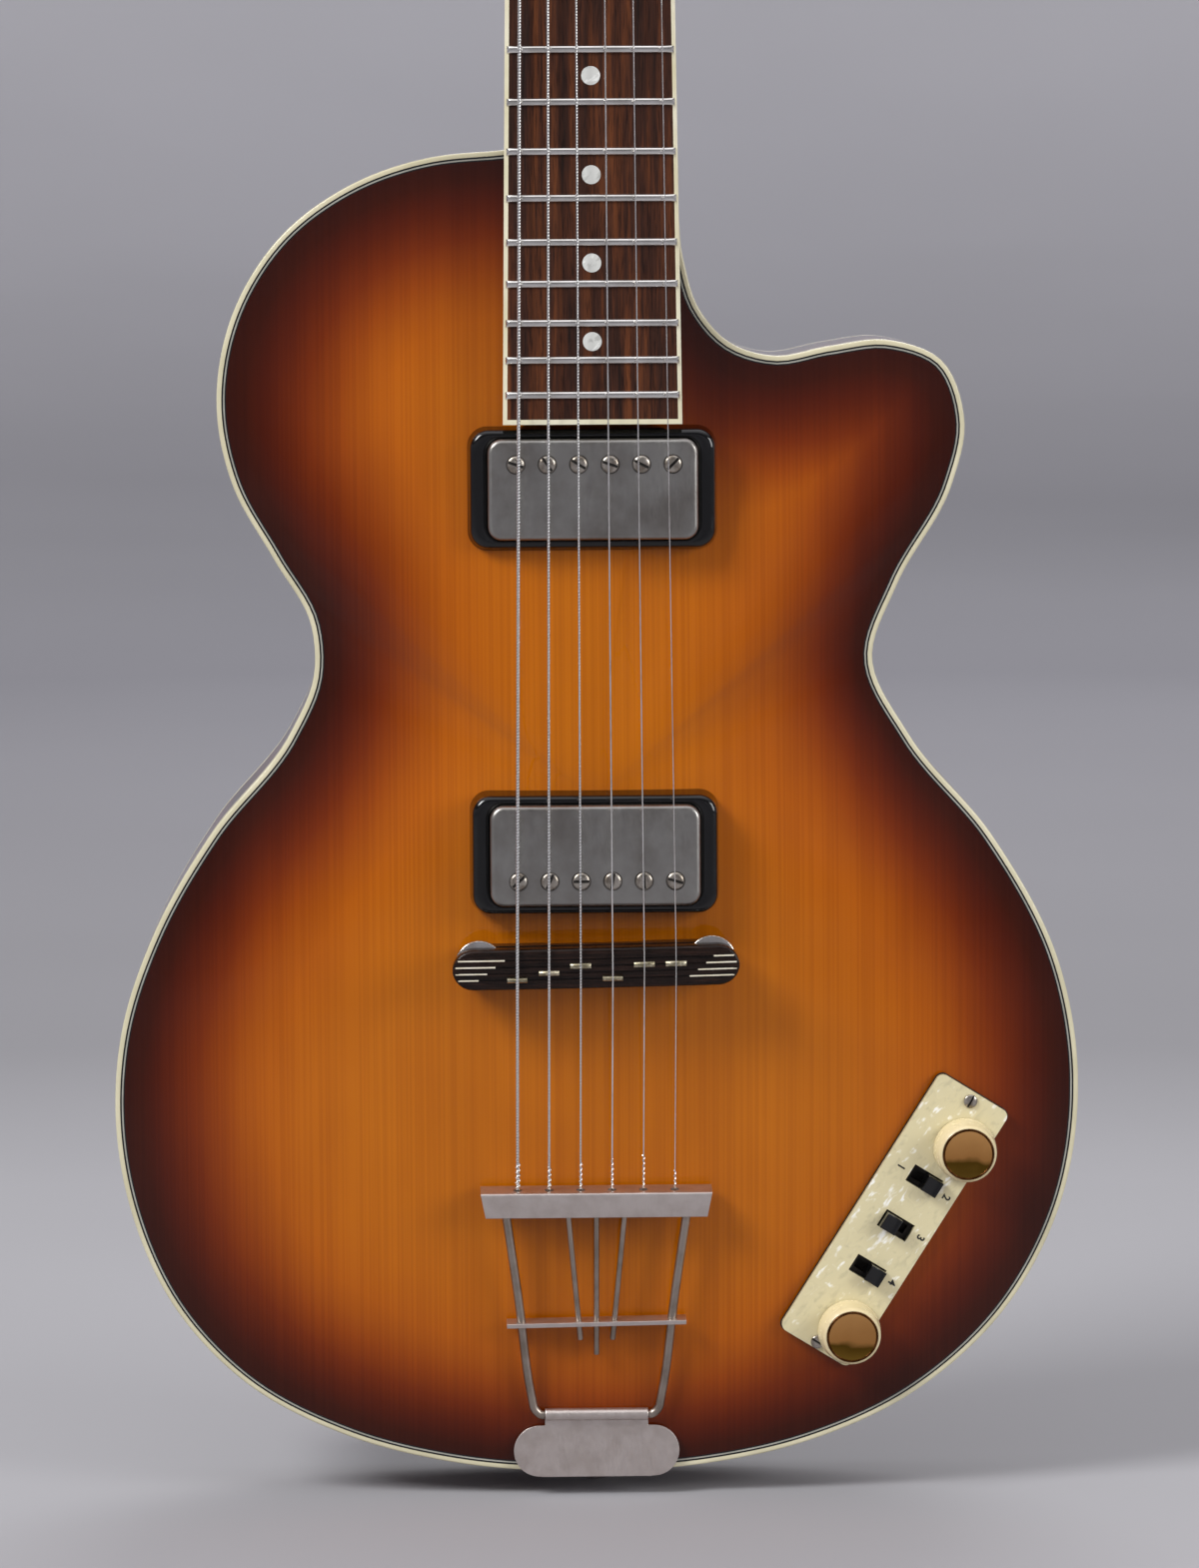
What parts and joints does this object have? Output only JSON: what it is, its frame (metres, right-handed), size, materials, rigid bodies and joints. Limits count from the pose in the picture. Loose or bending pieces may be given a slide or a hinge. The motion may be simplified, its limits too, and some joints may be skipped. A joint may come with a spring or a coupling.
{
  "type": "hollow-body electric guitar",
  "caption": "Arched hollow-body electric guitar with a rounded cutaway, pickups, floating bridge, hinged wire tailpiece and a pearl control plate with knobs and slide switches.",
  "frame": {"origin": "middle of the outer face of the end pin (strap button) at the bottom of the body", "axes": "+Z from the end pin to the headstock, -Y out of the front, +X to the treble side as seen from the front"},
  "size_m": [0.2979, 0.1078, 0.9576],
  "materials": {
    "sunburst_lacquer": "gloss",
    "red_brown_lacquer": "gloss",
    "bare_spruce": "matte",
    "cream_celluloid": "gloss",
    "rosewood": "satin",
    "ebony": "satin",
    "pearl_celluloid": "gloss",
    "black_plastic": "gloss",
    "aged_nickel": "aged satin",
    "nickel_steel": "satin",
    "coil_wire": "satin",
    "control_parts": "satin"
  },
  "bodies": {
    "body_and_neck": {"back_binding": "cream_celluloid", "back_lining": "bare_spruce", "back_plate": "red_brown_lacquer", "bridge_base": "ebony", "control_harness": "control_parts", "control_plate": "pearl_celluloid", "end_pin": "aged_nickel", "fingerboard": "rosewood", "fingerboard_binding": "cream_celluloid", "headstock_face": "black_plastic", "heel_button": "aged_nickel", "neck": "red_brown_lacquer", "neck_block": "bare_spruce", "nut": "cream_celluloid", "output_jack": "aged_nickel", "pickup_coil_bridge": "coil_wire", "pickup_coil_neck": "coil_wire", "pickup_cover_bridge": "aged_nickel", "pickup_cover_neck": "aged_nickel", "pickup_ring_bridge": "black_plastic", "pickup_ring_neck": "black_plastic", "rim": "red_brown_lacquer", "string_a": "nickel_steel", "string_b": "nickel_steel", "string_d": "nickel_steel", "string_g": "nickel_steel", "string_high_e": "nickel_steel", "string_low_e": "nickel_steel", "tail_block": "bare_spruce", "tailpiece_anchor": "aged_nickel", "tone_bar_bass": "bare_spruce", "tone_bar_treble": "bare_spruce", "top_binding": "cream_celluloid", "top_lining": "bare_spruce", "top_plate": "sunburst_lacquer", "truss_rod": "nickel_steel", "truss_rod_cover": "black_plastic", "tuner_plate_bass": "aged_nickel", "tuner_plate_treble": "aged_nickel"},
    "tuner_button_1": {"tuner_button_1": "pearl_celluloid"},
    "tuner_button_2": {"tuner_button_2": "pearl_celluloid"},
    "tuner_button_3": {"tuner_button_3": "pearl_celluloid"},
    "tuner_button_4": {"tuner_button_4": "pearl_celluloid"},
    "tuner_button_5": {"tuner_button_5": "pearl_celluloid"},
    "tuner_button_6": {"tuner_button_6": "pearl_celluloid"},
    "tuner_post_1": {"tuner_post_1": "nickel_steel"},
    "tuner_post_2": {"tuner_post_2": "nickel_steel"},
    "tuner_post_3": {"tuner_post_3": "nickel_steel"},
    "tuner_post_4": {"tuner_post_4": "nickel_steel"},
    "tuner_post_5": {"tuner_post_5": "nickel_steel"},
    "tuner_post_6": {"tuner_post_6": "nickel_steel"},
    "knob_upper": {"knob_upper": "cream_celluloid"},
    "knob_lower": {"knob_lower": "cream_celluloid"},
    "switch_slider_1": {"switch_slider_1": "black_plastic"},
    "switch_slider_2": {"switch_slider_2": "black_plastic"},
    "switch_slider_3": {"switch_slider_3": "black_plastic"},
    "bridge_saddle": {"bridge_saddle": "ebony"},
    "thumbwheel_bass": {"thumbwheel_bass": "aged_nickel"},
    "thumbwheel_treble": {"thumbwheel_treble": "aged_nickel"},
    "tailpiece_frame": {"tailpiece_frame": "aged_nickel"}
  },
  "joints": [
    {"name": "tuner_button_1_turn", "type": "hinge", "parent": "body_and_neck", "child": "tuner_button_1", "pos_m": [-0.025, 0.01849, 0.83861], "axis": [-1, 0, 0], "continuous": true},
    {"name": "tuner_post_1_turn", "type": "hinge", "parent": "body_and_neck", "child": "tuner_post_1", "pos_m": [-0.025, -0.00143, 0.83706], "axis": [0, -0.9563, 0.2924], "continuous": true},
    {"name": "tuner_button_2_turn", "type": "hinge", "parent": "body_and_neck", "child": "tuner_button_2", "pos_m": [-0.025, 0.0296, 0.87495], "axis": [-1, 0, 0], "continuous": true},
    {"name": "tuner_post_2_turn", "type": "hinge", "parent": "body_and_neck", "child": "tuner_post_2", "pos_m": [-0.025, 0.00968, 0.8734], "axis": [0, -0.9563, 0.2924], "continuous": true},
    {"name": "tuner_button_3_turn", "type": "hinge", "parent": "body_and_neck", "child": "tuner_button_3", "pos_m": [-0.025, 0.04071, 0.91129], "axis": [-1, 0, 0], "continuous": true},
    {"name": "tuner_post_3_turn", "type": "hinge", "parent": "body_and_neck", "child": "tuner_post_3", "pos_m": [-0.025, 0.02079, 0.90974], "axis": [0, -0.9563, 0.2924], "continuous": true},
    {"name": "tuner_button_4_turn", "type": "hinge", "parent": "body_and_neck", "child": "tuner_button_4", "pos_m": [0.025, 0.04071, 0.91129], "axis": [1, 0, 0], "continuous": true},
    {"name": "tuner_post_4_turn", "type": "hinge", "parent": "body_and_neck", "child": "tuner_post_4", "pos_m": [0.025, 0.02079, 0.90974], "axis": [0, -0.9563, 0.2924], "continuous": true},
    {"name": "tuner_button_5_turn", "type": "hinge", "parent": "body_and_neck", "child": "tuner_button_5", "pos_m": [0.025, 0.0296, 0.87495], "axis": [1, 0, 0], "continuous": true},
    {"name": "tuner_post_5_turn", "type": "hinge", "parent": "body_and_neck", "child": "tuner_post_5", "pos_m": [0.025, 0.00968, 0.8734], "axis": [0, -0.9563, 0.2924], "continuous": true},
    {"name": "tuner_button_6_turn", "type": "hinge", "parent": "body_and_neck", "child": "tuner_button_6", "pos_m": [0.025, 0.01849, 0.83861], "axis": [1, 0, 0], "continuous": true},
    {"name": "tuner_post_6_turn", "type": "hinge", "parent": "body_and_neck", "child": "tuner_post_6", "pos_m": [0.025, -0.00143, 0.83706], "axis": [0, -0.9563, 0.2924], "continuous": true},
    {"name": "knob_upper_turn", "type": "hinge", "parent": "body_and_neck", "child": "knob_upper", "pos_m": [0.11256, -0.02814, 0.10709], "axis": [0.0671, -0.9959, -0.0601], "range_deg": [-140, 140]},
    {"name": "knob_lower_turn", "type": "hinge", "parent": "body_and_neck", "child": "knob_lower", "pos_m": [0.07719, -0.02714, 0.05114], "axis": [0.0671, -0.9959, -0.0601], "range_deg": [-140, 140]},
    {"name": "switch_slider_1_throw", "type": "slide", "parent": "body_and_neck", "child": "switch_slider_1", "axis": [0.8426, 0.0889, -0.5311], "range_m": [-0.0045, 0]},
    {"name": "switch_slider_2_throw", "type": "slide", "parent": "body_and_neck", "child": "switch_slider_2", "axis": [0.8426, 0.0889, -0.5311], "range_m": [0, 0.0045]},
    {"name": "switch_slider_3_throw", "type": "slide", "parent": "body_and_neck", "child": "switch_slider_3", "axis": [0.8426, 0.0889, -0.5311], "range_m": [-0.0045, 0]},
    {"name": "saddle_lift", "type": "slide", "parent": "body_and_neck", "child": "bridge_saddle", "axis": [0, -1, 0], "range_m": [-0.0025, 0]},
    {"name": "thumbwheel_bass_turn", "type": "hinge", "parent": "bridge_saddle", "child": "thumbwheel_bass", "pos_m": [-0.03521, -0.0482, 0.16685], "axis": [0, -1, 0], "range_deg": [-1286, 0]},
    {"name": "thumbwheel_treble_turn", "type": "hinge", "parent": "bridge_saddle", "child": "thumbwheel_treble", "pos_m": [0.03498, -0.0482, 0.16795], "axis": [0, -1, 0], "range_deg": [-1286, 0]},
    {"name": "tailpiece_hinge", "type": "hinge", "parent": "body_and_neck", "child": "tailpiece_frame", "pos_m": [0, -0.02823, 0.0255], "axis": [1, 0, 0], "range_deg": [-0.2, 0.6]}
  ],
  "couplings": [
    {"joint": "tuner_button_1_turn", "follows": "tuner_post_1_turn", "ratio": 14},
    {"joint": "tuner_button_2_turn", "follows": "tuner_post_2_turn", "ratio": 14},
    {"joint": "tuner_button_3_turn", "follows": "tuner_post_3_turn", "ratio": 14},
    {"joint": "tuner_button_4_turn", "follows": "tuner_post_4_turn", "ratio": 14},
    {"joint": "tuner_button_5_turn", "follows": "tuner_post_5_turn", "ratio": 14},
    {"joint": "tuner_button_6_turn", "follows": "tuner_post_6_turn", "ratio": 14},
    {"joint": "thumbwheel_bass_turn", "follows": "saddle_lift", "rad_per_m": 8976},
    {"joint": "thumbwheel_treble_turn", "follows": "saddle_lift", "rad_per_m": 8976}
  ]
}
